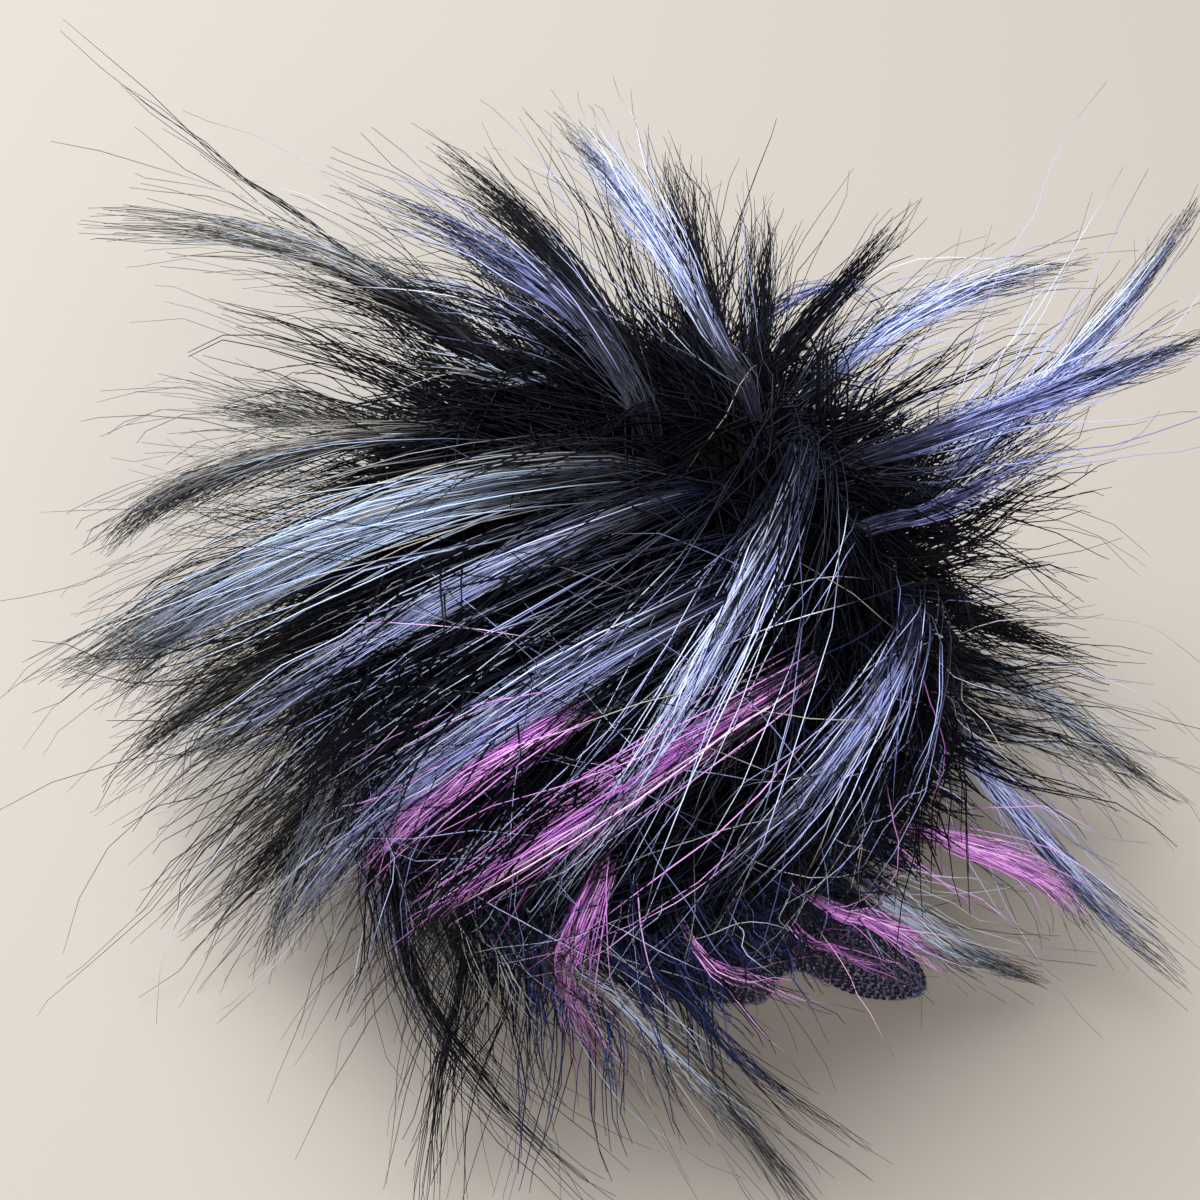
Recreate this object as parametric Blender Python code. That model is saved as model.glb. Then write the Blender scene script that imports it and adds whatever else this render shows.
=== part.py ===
"""A long-pile faux-fur pom pom, lying on a table.

A circle of knitted fur cloth is gathered round its stuffing into a ball. Its long pile parts at the
crown, falls round the ball in locks and lies on the table at its ends. A lobe of the gathered cloth
edge pokes out from under the front right.

Two sub-parts, each one closed solid:
  fur_ball       the ball with its dense pile, and the main locks that stand out of it
  gathered_edge  the ruffled edge of the knitted backing

Frame: metres, +Z up. The origin is on the table, under the middle of the ball. +X is to the right and
-Y to the front. Angles round the ball count from +X towards +Y; heights on it count from its equator.
"""

import math
from collections import namedtuple

import bmesh
import bpy
from mathutils import Vector

MM = 0.001

# Driving sizes, in millimetres.
BALL_RADIUS = 31.5
BALL_FLAT = 1.0  # the stuffed ball settles this far into its flat spot
CENTRE = Vector((0.0, 0.0, BALL_RADIUS - BALL_FLAT))

# The dense pile. It swells out of the ball under each lock, and at the bottom it hangs to the table.
PILE_UNDER_LOCK = (0.25, 0.4, 0.55, 0.7)  # places along a lock up to which the pile under it is dense
PILE_SHARE = 0.9  # how much of the way from the ball to the lock it fills there
PILE_SPREAD = 12.0  # degrees to either side of a lock
HEM_RADIUS = 26.0
HEM_UNEVEN = 1.2
HEM_WAVES = (3, 7)  # round the hem, two rows of waves that beat against each other
BELOW_TABLE = 2.0  # drawn this far below the table, then cut off flat
FLOOR_BLOCK = (400.0, 400.0, 20.0)
PILE_SIDES = 48
PILE_TILTS = (-80.0, 84.0)  # degrees of its lowest and highest ring, seen from the ball's middle
PILE_RINGS = 23

# Locks.
LOCK_SUNK = 3.0  # a lock's root starts this far inside the ball
LOCK_EMERGED = 0.25  # by this share of its length it is out of the ball
LOCK_CLEAR = 1.2  # and its middle line then stays this far outside it
LOCK_REACH = 0.38  # length of the curve's handles, as a share of the lock's straight length
LOCK_RINGS = 10
LOCK_SIDES = 6
LOCK_FLATNESS = 0.62  # thickness over width
LOCK_ROOT = 0.6  # width of the root over the full width
LOCK_TIP = 0.14  # width of the tip over the full width
LOCK_LOW = 0.8  # the middle line comes no lower than this above the table

# The gathered edge of the backing, a sheet in the gap under the front right of the ball.
EDGE_FROM, EDGE_TO = -72.0, -4.0  # degrees round the ball
EDGE_INNER = 17.5
EDGE_REACH = 28.0
EDGE_LOBES = ((-31.0, 16.0, 10.0), (-54.0, 4.0, 8.0))  # middle, extra reach, half width in degrees
EDGE_THICKNESS = 1.2
EDGE_LIFT = 1.5  # clear of the table, between its lobes' tips and the ball
EDGE_ARCH = 1.6
EDGE_RUFFLES = 5.5
EDGE_RUFFLE_HEIGHT = 1.1
EDGE_MARGIN = 4.0  # degrees of free table on either side of it
EDGE_SOFT = 18.0  # degrees in which the pile then comes down to the table
EDGE_THINNING = 30.0  # degrees about the equator in which the pile over it thins out
EDGE_STEPS = 36
EDGE_BANDS = 4

FUR_BLACK = "0D0D14"
KNIT_NAVY = "262B3D"

Lock = namedtuple(
    "Lock", "name root_angle root_height tip_angle tip_reach tip_height rise dip bow width"
)
# Angles in degrees, sizes in millimetres. rise: how steeply it leaves the ball. dip: how steeply its
# tip points down. bow: how much it curves to its left on the way.
LOCKS = [
    Lock("crown_left", 102, 86, 136, 50, 62, 45, -7, 23, 8),
    Lock("crown_branch", 123, 46, 123, 40, 56, 50, 9, 25, 6),
    Lock("back_left", 131, 48, 153, 71, 55, 65, 2, 26, 8),
    Lock("left_upper", 138, 32, 155, 58, 36, 25, 15, 5, 7),
    Lock("left_high", 143, 63, 171, 63, 26, 27, 56, -15, 9),
    Lock("left_pale", 28, 82, 185, 65, 22, 26, 45, -14, 10),
    Lock("left_long", 18, 74, -163, 50, 21, 16, 59, -24, 8),
    Lock("front_left", -16, 64, -140, 46, 11, 24, 69, 16, 9),
    Lock("pink_left", -88, 59, -141, 36, 12, 20, 67, 13, 6),
    Lock("front_pale", 39, 61, -103, 30, 38, 44, 41, -5, 8),
    Lock("pink_front", -28, 52, -121, 34, 25, 19, 72, 22, 8),
    Lock("front_right", -5, 45, -77, 29, 44, 55, 39, -13, 7),
    Lock("back_middle", 45, 62, 105, 62, 54, 26, 22, -8, 8),
    Lock("back_right", 55, 49, 45, 70, 50, 43, 3, -21, 7),
    Lock("right_low", 31, 60, 32, 73, 52, 34, 15, 9, 9),
    Lock("right_raised", 15, 38, 41, 75, 63, 44, -14, 11, 8),
    Lock("right_black", 68, 48, 62, 59, 55, 57, -5, 0, 5),
    Lock("top_dark_left", 122, 44, 141, 60, 50, 40, 10, 10, 8),
    Lock("top_dark_middle", 100, 62, 119, 62, 53, 40, 5, 8, 8),
    Lock("top_dark", 76, 60, 93, 56, 54, 45, 10, 0, 8),
    Lock("top_dark_right", 64, 48, 79, 48, 55, 45, 10, 0, 7),
    Lock("right_upper_dark", 6, 34, 7, 50, 33, 25, 15, -6, 8),
    Lock("bottom_silver", -108, 15, -61, 56, 2.1, 20, 10, -12, 8),
    Lock("pink_bottom", -90, 35, -84, 39, 5, 15, 50, 29, 6),
    Lock("pink_right", -59, 13, -25, 50, 4, 27, 37, -10, 6),
    Lock("silver_right", -48, 10, -22, 57, 4, 27, 28, 2, 6),
    Lock("pink_far_right", -36, 8, -16, 58, 9, 28, 61, -10, 6),
    Lock("lilac_right", -9, 23, -17, 71, 6, 18, 9, -13, 7),
    Lock("dark_right", 1, 14, 1, 71, 8, 49, 18, -25, 8),
    Lock("dark_back", 88, 30, 84, 58, 22, 25, 25, 5, 9),
    Lock("dark_back_left", 116, 24, 120, 60, 16, 20, 30, -5, 9),
    Lock("dark_back_right", 52, 22, 47, 60, 20, 25, 25, -5, 9),
    Lock("low_back_right", 28, 6, 26, 56, 2, 18, 20, 4, 8),
    Lock("low_back", 70, 5, 68, 54, 2, 18, 20, -4, 8),
    Lock("low_back_middle", 100, 5, 103, 56, 2, 18, 20, 5, 8),
    Lock("low_back_left", 138, 5, 142, 57, 2, 18, 20, -5, 8),
    Lock("bottom_left", -138, 25, -81, 53, 1.7, 27, 15, 23, 7),
    Lock("bottom_dark", -116, 8, -104, 60, 1.5, 8, 6, 14, 7),
    Lock("low_left", -153, 19, -143, 47, 4, 10, 65, 7, 8),
    Lock("low_left_dark", -160, 12, -150, 56, 2, 12, 25, 0, 8),
    Lock("left_middle", 180, 23, 180, 62, 9, 36, 56, 24, 8),
    Lock("left_lower", -172, 20, -172, 60, 8, 11, 40, 21, 8),
]


def clear_scene():
    for thing in list(bpy.data.objects):
        bpy.data.objects.remove(thing)


def to_linear(hex_colour):
    """An sRGB hex colour as the linear one that a shader takes."""
    values = [int(hex_colour[i : i + 2], 16) / 255 for i in (0, 2, 4)]
    curve = [v / 12.92 if v <= 0.04045 else ((v + 0.055) / 1.055) ** 2.4 for v in values]
    return (*curve, 1.0)


def make_material(name, hex_colour, roughness):
    material = bpy.data.materials.new(name)
    material.use_nodes = True
    shader = material.node_tree.nodes["Principled BSDF"]
    shader.inputs["Base Color"].default_value = to_linear(hex_colour)
    shader.inputs["Roughness"].default_value = roughness
    shader.inputs["Metallic"].default_value = 0.0
    return material


def facing(angle, height):
    """The direction from the ball's middle to a place on it."""
    turn, tilt = math.radians(angle), math.radians(height)
    return Vector((math.cos(tilt) * math.cos(turn), math.cos(tilt) * math.sin(turn), math.sin(tilt)))


def turned_apart(angle, other):
    return abs((angle - other + 180.0) % 360.0 - 180.0)


def bump(distance, width):
    return math.exp(-((distance / width) ** 2))


def ramp(value):
    return min(1.0, max(0.0, value))


def lock_ends(lock):
    """The root and tip of a lock, and its directions there."""
    normal = facing(lock.root_angle, lock.root_height)
    root = CENTRE + normal * (BALL_RADIUS - LOCK_SUNK)
    tip_turn = math.radians(lock.tip_angle)
    tip = Vector((math.cos(tip_turn), math.sin(tip_turn), 0.0)) * lock.tip_reach
    tip.z = lock.tip_height
    chord = tip - root
    along = (chord - normal * chord.dot(normal)).normalized()
    side = normal.cross(along)
    bow, rise, dip = (math.radians(a) for a in (lock.bow, lock.rise, lock.dip))
    across = along * math.cos(bow) - side * math.sin(bow)
    leaving = across * math.cos(rise) + normal * math.sin(rise)
    heading = math.atan2(chord.y, chord.x) + bow
    level = Vector((math.cos(heading), math.sin(heading), 0.0))
    arriving = level * math.cos(dip) - Vector((0.0, 0.0, math.sin(dip)))
    return root, tip, leaving, arriving


def lock_point(lock, t):
    """A point on the middle line of a lock, kept outside the ball and above the table."""
    root, tip, leaving, arriving = lock_ends(lock)
    handle = (tip - root).length * LOCK_REACH
    corners = (root, root + leaving * handle, tip - arriving * handle, tip)
    shares = ((1 - t) ** 3, 3 * (1 - t) ** 2 * t, 3 * (1 - t) * t * t, t**3)
    point = sum((corner * share for corner, share in zip(corners, shares)), Vector())
    clear = BALL_RADIUS - LOCK_SUNK + (LOCK_SUNK + LOCK_CLEAR) * min(1.0, t / LOCK_EMERGED)
    out = point - CENTRE
    if out.length < clear:
        point = CENTRE + out.normalized() * clear
    point.z = max(point.z, LOCK_LOW)
    return point


def swell(t):
    """The width of a lock along its length, over its full width."""
    body = LOCK_ROOT + (1 - LOCK_ROOT) * math.sin(math.pi * t)
    return LOCK_TIP + (1 - LOCK_TIP) * (1 - t**3) * body


def add_rings(mesh, rings):
    """A closed tube through rings of points, each listed counterclockwise as seen from its far end."""
    loops = [[mesh.verts.new(point * MM) for point in ring] for ring in rings]
    for near, far in zip(loops, loops[1:]):
        for i in range(len(near)):
            j = (i + 1) % len(near)
            mesh.faces.new((near[i], near[j], far[j], far[i]))
    mesh.faces.new(reversed(loops[0]))
    mesh.faces.new(loops[-1])


def finished_object(name, mesh, material):
    """An object from a bmesh, smooth shaded and with its faces outwards."""
    bmesh.ops.recalc_face_normals(mesh, faces=mesh.faces)
    data = bpy.data.meshes.new(name)
    mesh.to_mesh(data)
    mesh.free()
    data.shade_smooth()
    data.materials.append(material)
    made = bpy.data.objects.new(name, data)
    bpy.context.scene.collection.objects.link(made)
    return made


def make_helper(made):
    """A shape that only cuts or joins another: it isn't a piece of its own."""
    made.hide_render = True
    made.display_type = "WIRE"
    return made


def make_lock(lock, material):
    route = [lock_point(lock, i / (LOCK_RINGS - 1)) for i in range(LOCK_RINGS)]
    rings = []
    for i, point in enumerate(route):
        onward = (route[min(i + 1, LOCK_RINGS - 1)] - route[max(i - 1, 0)]).normalized()
        side = onward.cross(point - CENTRE).normalized()
        out = side.cross(onward)
        half = 0.5 * lock.width * swell(i / (LOCK_RINGS - 1))
        turns = [2 * math.pi * k / LOCK_SIDES for k in range(LOCK_SIDES)]
        flat = half * LOCK_FLATNESS
        rings.append([point + side * half * math.cos(a) + out * flat * math.sin(a) for a in turns])
    mesh = bmesh.new()
    add_rings(mesh, rings)
    return make_helper(finished_object("lock_" + lock.name, mesh, material))


def over_edge(angle):
    """1 where the pile is thin and off the table, over the gathered edge, else 0, with a soft change."""
    middle, half = (EDGE_FROM + EDGE_TO) / 2, (EDGE_TO - EDGE_FROM) / 2
    inside = half + EDGE_MARGIN + EDGE_SOFT - turned_apart(angle, middle)
    return ramp(inside / EDGE_SOFT)


def to_level(tilt, drop):
    """How far it is from the ball's middle, at a downward tilt, to the level this much lower."""
    return drop / math.sin(math.radians(-tilt)) if tilt < 0 else math.inf


def pile_reach(angle, tilt, ridges):
    """How far the dense pile reaches from the ball's middle, in one direction."""
    direction = facing(angle, tilt)
    reach = BALL_RADIUS
    for ridge in ridges:
        swell_here = PILE_SHARE * (ridge.length - BALL_RADIUS)
        apart = math.degrees(direction.angle(ridge))
        reach = max(reach, BALL_RADIUS + swell_here * bump(apart, PILE_SPREAD))
    slow, quick = (math.radians(angle * waves) for waves in HEM_WAVES)
    hem_radius = HEM_RADIUS + HEM_UNEVEN * math.sin(slow) * math.cos(quick)
    hem_tilt = -math.degrees(math.atan2(CENTRE.z, hem_radius))
    hem_reach = math.hypot(CENTRE.z, hem_radius)
    hanging = BALL_RADIUS + (hem_reach - BALL_RADIUS) * ramp(tilt / hem_tilt) ** 2
    down = min(to_level(tilt, CENTRE.z + BELOW_TABLE), max(reach, hanging))
    thinned = BALL_RADIUS + (reach - BALL_RADIUS) * ramp(0.5 + tilt / EDGE_THINNING)
    return down + (thinned - down) * over_edge(angle)


def make_pile(material):
    ridges = [lock_point(lock, t) - CENTRE for lock in LOCKS for t in PILE_UNDER_LOCK]
    angles = [360.0 * i / PILE_SIDES for i in range(PILE_SIDES)]
    lowest, highest = PILE_TILTS
    rings = []
    for i in range(PILE_RINGS):
        tilt = lowest + (highest - lowest) * i / (PILE_RINGS - 1)
        rings.append([CENTRE + facing(a, tilt) * pile_reach(a, tilt, ridges) for a in angles])
    mesh = bmesh.new()
    add_rings(mesh, rings)
    return finished_object("fur_ball", mesh, material)


def make_floor_cutter(material):
    """A block under the table's top, which cuts the fur flat where it lies."""
    mesh = bmesh.new()
    bmesh.ops.create_cube(mesh, size=1.0)
    bmesh.ops.scale(mesh, vec=Vector(FLOOR_BLOCK) * MM, verts=mesh.verts)
    bmesh.ops.translate(mesh, vec=(0.0, 0.0, -FLOOR_BLOCK[2] / 2 * MM), verts=mesh.verts)
    return make_helper(finished_object("floor_cutter", mesh, material))


def make_fur_ball(material):
    ball = make_pile(material)
    locks = bpy.data.collections.new("locks")
    bpy.context.scene.collection.children.link(locks)
    for lock in LOCKS:
        made = make_lock(lock, material)
        bpy.context.scene.collection.objects.unlink(made)
        locks.objects.link(made)
    join = ball.modifiers.new("join_locks", "BOOLEAN")
    join.operation = "UNION"
    join.solver = "EXACT"
    join.operand_type = "COLLECTION"
    join.collection = locks
    cut = ball.modifiers.new("lie_flat", "BOOLEAN")
    cut.operation = "DIFFERENCE"
    cut.solver = "EXACT"
    cut.object = make_floor_cutter(material)
    return ball


def edge_reach(angle):
    return EDGE_REACH + sum(extra * bump(angle - middle, half) for middle, extra, half in EDGE_LOBES)


def edge_height(angle, outward):
    """The middle of the backing's thickness above the table; outward runs from 0 inside to 1."""
    turn = 2 * math.pi * EDGE_RUFFLES * (angle - EDGE_FROM) / (EDGE_TO - EDGE_FROM)
    ruffle = EDGE_RUFFLE_HEIGHT * outward * math.sin(turn)
    arch = EDGE_ARCH * math.sin(math.pi * outward)
    return max(0.0, EDGE_LIFT + arch + ruffle) + EDGE_THICKNESS / 2


def make_gathered_edge(material):
    mesh = bmesh.new()
    layers = []
    for offset in (-EDGE_THICKNESS / 2, EDGE_THICKNESS / 2):
        layer = []
        for i in range(EDGE_STEPS + 1):
            angle = EDGE_FROM + (EDGE_TO - EDGE_FROM) * i / EDGE_STEPS
            row = []
            for j in range(EDGE_BANDS + 1):
                outward = j / EDGE_BANDS
                point = facing(angle, 0) * (EDGE_INNER + (edge_reach(angle) - EDGE_INNER) * outward)
                point.z = edge_height(angle, outward) + offset
                row.append(mesh.verts.new(point * MM))
            layer.append(row)
        layers.append(layer)
    low, high = layers
    for i in range(EDGE_STEPS):
        for j in range(EDGE_BANDS):
            mesh.faces.new((high[i][j], high[i][j + 1], high[i + 1][j + 1], high[i + 1][j]))
            mesh.faces.new((low[i][j], low[i + 1][j], low[i + 1][j + 1], low[i][j + 1]))
    for i in range(EDGE_STEPS):
        mesh.faces.new((low[i][-1], low[i + 1][-1], high[i + 1][-1], high[i][-1]))
        mesh.faces.new((low[i + 1][0], low[i][0], high[i][0], high[i + 1][0]))
    for j in range(EDGE_BANDS):
        mesh.faces.new((low[0][j], low[0][j + 1], high[0][j + 1], high[0][j]))
        mesh.faces.new((low[-1][j + 1], low[-1][j], high[-1][j], high[-1][j + 1]))
    return finished_object("gathered_edge", mesh, material)


clear_scene()
make_fur_ball(make_material("fur_black", FUR_BLACK, 0.55))
make_gathered_edge(make_material("knit_navy", KNIT_NAVY, 0.9))
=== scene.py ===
# %% [markdown]
# # A long-pile pom pom
#
# The real pom pom is a circle of faux-fur cloth. A thread gathers its edge round a handful of
# stuffing, so that the knitted backing makes a ball and the pile points outwards. The pile is mostly
# black. Bunches of longer lavender, silver and magenta fibre stand out of it as locks. It parts at the
# crown, falls round the ball and lies on the table.
#
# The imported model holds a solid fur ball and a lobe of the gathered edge. This lesson replaces the fur
# ball with a stuffed ball and nearly fifteen thousand strands, and the lobe with finer knitted cloth.

import math
from functools import partial

import bmesh
import bpy
import numpy as np
from mathutils import Matrix, Vector


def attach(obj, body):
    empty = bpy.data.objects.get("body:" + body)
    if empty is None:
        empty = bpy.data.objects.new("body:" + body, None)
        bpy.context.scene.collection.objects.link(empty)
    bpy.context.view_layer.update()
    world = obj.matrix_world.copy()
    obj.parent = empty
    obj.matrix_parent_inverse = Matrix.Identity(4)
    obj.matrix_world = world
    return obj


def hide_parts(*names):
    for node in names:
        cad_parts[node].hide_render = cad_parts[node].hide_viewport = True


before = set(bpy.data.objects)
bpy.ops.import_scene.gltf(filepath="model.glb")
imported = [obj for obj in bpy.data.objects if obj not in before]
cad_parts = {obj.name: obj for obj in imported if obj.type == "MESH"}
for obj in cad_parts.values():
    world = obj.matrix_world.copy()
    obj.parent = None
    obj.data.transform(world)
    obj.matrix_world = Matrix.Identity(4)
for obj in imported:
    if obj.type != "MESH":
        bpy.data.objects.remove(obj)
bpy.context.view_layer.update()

# %% [markdown]
# ## Helpers
#
# Colours are written as the hex values of a paint chart and turned to the linear values that shaders
# take. One helper adds any node: it sets the node's properties, feeds its sockets with values or with
# other nodes' outputs, and hands back one output, so that node trees read like sums. Three short forms
# of it do sums with numbers, do sums with vectors and mix colours. The last helpers begin a finish, put
# an object in the scene, and run a node tree on an object.

# %% Helpers
MM = 0.001


def linear(hex_colour):
    """An sRGB hex colour as linear red, green, blue and alpha."""
    values = [int(hex_colour[i : i + 2], 16) / 255 for i in (0, 2, 4)]
    curve = [v / 12.92 if v <= 0.04045 else ((v + 0.055) / 1.055) ** 2.4 for v in values]
    return (*curve, 1.0)


def add_node(tree, kind, feeds=None, gives=None, **settings):
    """A new node. feeds is what each socket takes, by its identifier; gives names the output."""
    node = tree.nodes.new(kind)
    for name, value in settings.items():
        setattr(node, name, value)
    sockets = {socket.identifier: socket for socket in node.inputs}
    for name, value in (feeds or {}).items():
        if isinstance(value, bpy.types.NodeSocket):
            tree.links.new(value, sockets[name])
        else:
            sockets[name].default_value = value
    outputs = {socket.identifier: socket for socket in node.outputs}
    return outputs[gives] if gives else next(iter(outputs.values()), node)


def maths(tree, operation, *values):
    """A sum with up to three numbers."""
    feeds = dict(zip(("Value", "Value_001", "Value_002"), values))
    return add_node(tree, "ShaderNodeMath", feeds, operation=operation)


def vectors(tree, operation, first, second):
    """A sum with a vector and another vector, or with a vector and the number that scales it."""
    feeds = {"Vector": first, "Scale" if operation == "SCALE" else "Vector_001": second}
    gives = "Value" if operation == "DOT_PRODUCT" else "Vector"
    return add_node(tree, "ShaderNodeVectorMath", feeds, gives, operation=operation)


def mixed(tree, share, first, second):
    """Two colours, mixed."""
    feeds = {"Factor_Float": share, "A_Color": first, "B_Color": second}
    return add_node(tree, "ShaderNodeMix", feeds, "Result_Color", data_type="RGBA")


def new_finish(name, values):
    """A new material with these values on its shader, and its node tree and shader to go on with."""
    material = bpy.data.materials.new(name)
    material.use_nodes = True
    shader = material.node_tree.nodes["Principled BSDF"]
    for socket, value in values.items():
        shader.inputs[socket].default_value = value
    return material, material.node_tree, shader


def put(name, data):
    """A new object in the scene."""
    made = bpy.data.objects.new(name, data)
    bpy.context.scene.collection.objects.link(made)
    return made


def run_tree(made, tree, values):
    """Runs a Geometry Nodes tree on an object and leaves the result on it as a plain mesh."""
    modifier = made.modifiers.new(tree.name, "NODES")
    modifier.node_group = tree
    for socket in tree.interface.items_tree:
        if socket.name in values:
            modifier[socket.identifier] = values[socket.name]
    shown = made.evaluated_get(bpy.context.evaluated_depsgraph_get())
    mesh = bpy.data.meshes.new_from_object(shown)
    made.modifiers.remove(modifier)
    made.data = mesh
    mesh.name = made.name
    return mesh


print("a mid grey is", round(linear("808080")[0], 3), "to a shader")

# %% [markdown]
# ## The camera
#
# It hangs over the front of the table and looks down at about 56 degrees, close enough for every fibre
# to show. It is turned a little, so that the table's far edge would slope.

# %% Camera
LENS, SENSOR = 35.6, 36.0
NEAREST = 0.005  # what lies closer to the lens than this isn't seen
CAMERA_PLACE = (-0.0044, -0.0647, 0.140)
CAMERA_TILT, CAMERA_ROLL = math.radians(33.53), math.radians(6.27)

camera_data = bpy.data.cameras.new("camera")
camera_data.lens = LENS
camera_data.sensor_width = SENSOR
camera_data.clip_start = NEAREST
camera = put("camera", camera_data)
turn = Matrix.Rotation(CAMERA_TILT, 4, "X") @ Matrix.Rotation(CAMERA_ROLL, 4, "Z")
camera.matrix_world = Matrix.Translation(CAMERA_PLACE) @ turn
bpy.context.scene.camera = camera
print("the camera stands", round(Vector(CAMERA_PLACE).length * 1000), "mm from the pom pom's base")

# %% [markdown]
# ## The fibres' finish
#
# Faux fur is acrylic fibre: smooth, with a satin shine along each hair. The bright bunches are dyed in
# the middle of each fibre, and stay dark at the root and at the tip. Every strand will get a UV map
# that runs from 0 at its root to 1 at its tip, with one narrow band of the map for each of 64 tints.
# So the materials colour by that map. Brighter tints lie higher on it, and a random shift for each
# band starts and ends the dye at another place. The bands reach past the dyes' own range: the darkest
# are partly painted shade and the lightest partly painted highlight.

# %% Fibre materials
TINTS = 64  # bands of the strands' UV map
DYE_FROM = 0.15  # where the dye begins on it
UNEVEN = 0.16  # how far a band's dye is shifted along it


def fibre(name, root, tints, tip, dyed, roughness, gloss=0.28, shine="FFFFFF"):
    """Acrylic fibre. tints run from the darkest band to the lightest; dyed is where the dye starts
    and ends along a strand, each as a range in which it changes."""
    finish = {"Roughness": roughness, "Specular IOR Level": gloss, "Specular Tint": linear(shine)}
    material, tree, shader = new_finish(name, finish)
    uv = add_node(tree, "ShaderNodeUVMap", uv_map="OFBake")
    split = add_node(tree, "ShaderNodeSeparateXYZ", {"Vector": uv}).node.outputs
    along, band = split["X"], split["Y"]
    number = maths(tree, "FLOOR", maths(tree, "MULTIPLY", band, TINTS))
    chance = add_node(tree, "ShaderNodeTexWhiteNoise", {"W": number}, noise_dimensions="1D")
    place = maths(tree, "MULTIPLY_ADD", maths(tree, "ADD", chance, -0.5), UNEVEN, along)
    ramp = add_node(tree, "ShaderNodeValToRGB", {"Fac": band}, "Color")
    stops = ramp.node.color_ramp.elements
    while len(stops) < len(tints):
        stops.new(0.5)
    for i, tint in enumerate(tints):
        stops[i].position = i / (len(tints) - 1)
        stops[i].color = linear(tint)
    soft = partial(add_node, tree, "ShaderNodeMapRange", interpolation_type="SMOOTHSTEP")
    started, ended = (soft({"Value": place, "From Min": low, "From Max": high}) for low, high in dyed)
    body = mixed(tree, started, linear(root), ramp)
    tree.links.new(mixed(tree, ended, body, linear(tip)), shader.inputs["Base Color"])
    return material


# Black-dyed acrylic: it swallows light, with a faint blue shine along each hair.
BLACK = fibre(
    "black_acrylic_fibre",
    root="010102",
    tints=("020203", "04050A", "0B0D1A", "1B2344", "36427C"),
    tip="08080C",
    dyed=((0.0, 0.4), (0.6, 1.0)),
    roughness=0.42,
    gloss=0.1,
    shine="C8D2FF",
)
# Acrylic dyed lavender in the middle: bright, cool and satin.
LILAC = fibre(
    "lavender_acrylic_fibre",
    root="080B22",
    tints=("10111C", "4E5488", "828CC8", "A6B2EA", "C0CEFC", "DCE8FF"),
    tip="0E0E15",
    dyed=((0.1, 0.36), (0.66, 0.94)),
    roughness=0.4,
)
# Undyed acrylic, from warm sage grey in thin locks to cold silver where many fibres shine together;
# that cold, light end is partly painted highlight in a cool light.
SILVER = fibre(
    "silver_sage_acrylic_fibre",
    root="080A18",
    tints=("141416", "827C74", "B4AEA4", "AAB6C8", "AAC2EC", "D0E4FF"),
    tip="101014",
    dyed=((0.1, 0.38), (0.6, 0.92)),
    roughness=0.42,
)
# The same fibre in the pile: black for half its length, with a grey tip that looks frosted.
GREY = fibre(
    "grey_tipped_acrylic_fibre",
    root="040406",
    tints=("0C0C0E", "4C4B48", "86847E", "A6A6A4", "B4BCC8"),
    tip="1A1A1C",
    dyed=((0.25, 0.55), (0.8, 1.0)),
    roughness=0.42,
)
# Acrylic dyed orchid pink in the middle: the only warm colour.
MAGENTA = fibre(
    "orchid_acrylic_fibre",
    root="140818",
    tints=("301838", "9450A8", "CA7EDC", "EAA8FA", "FCD0FF"),
    tip="1A0E1C",
    dyed=((0.1, 0.24), (0.72, 0.96)),
    roughness=0.4,
)
FIBRES = {"black": BLACK, "lilac": LILAC, "silver": SILVER, "magenta": MAGENTA}
print("fibre finishes:", ", ".join(material.name for material in FIBRES.values()))

# %% [markdown]
# ## The groom: one table of locks
#
# A groomer thinks in locks: where each one leaves the ball, where its tip lies, how steeply it rises
# and dips, and how it bows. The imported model's solid locks follow the same routes and are a little
# wider, so the strands lie in the space that the solids hold. Angles round the ball count from the
# right, anticlockwise; heights on it count from its equator. Sizes are in millimetres.

# %% The table of locks
BALL_RADIUS = 31.5
BALL_FLAT = 1.0
CENTRE = np.array((0.0, 0.0, BALL_RADIUS - BALL_FLAT))
ROOT_DEPTH = 3.0  # roots start this far inside the ball
OUT_BY = 0.15  # by this share of its length a strand is out of the ball
HANDLE = 0.38  # length of a route's handles, as a share of its straight length
LOW = 0.5  # a route comes no lower than this above the table
SOFT_BALL, SOFT_TABLE = 0.6, 0.8  # over how much a route is eased off the ball and off the table

LOCK_COLUMNS = "root_angle root_height tip_angle tip_reach tip_height rise dip bow width tint bare".split()
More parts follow.
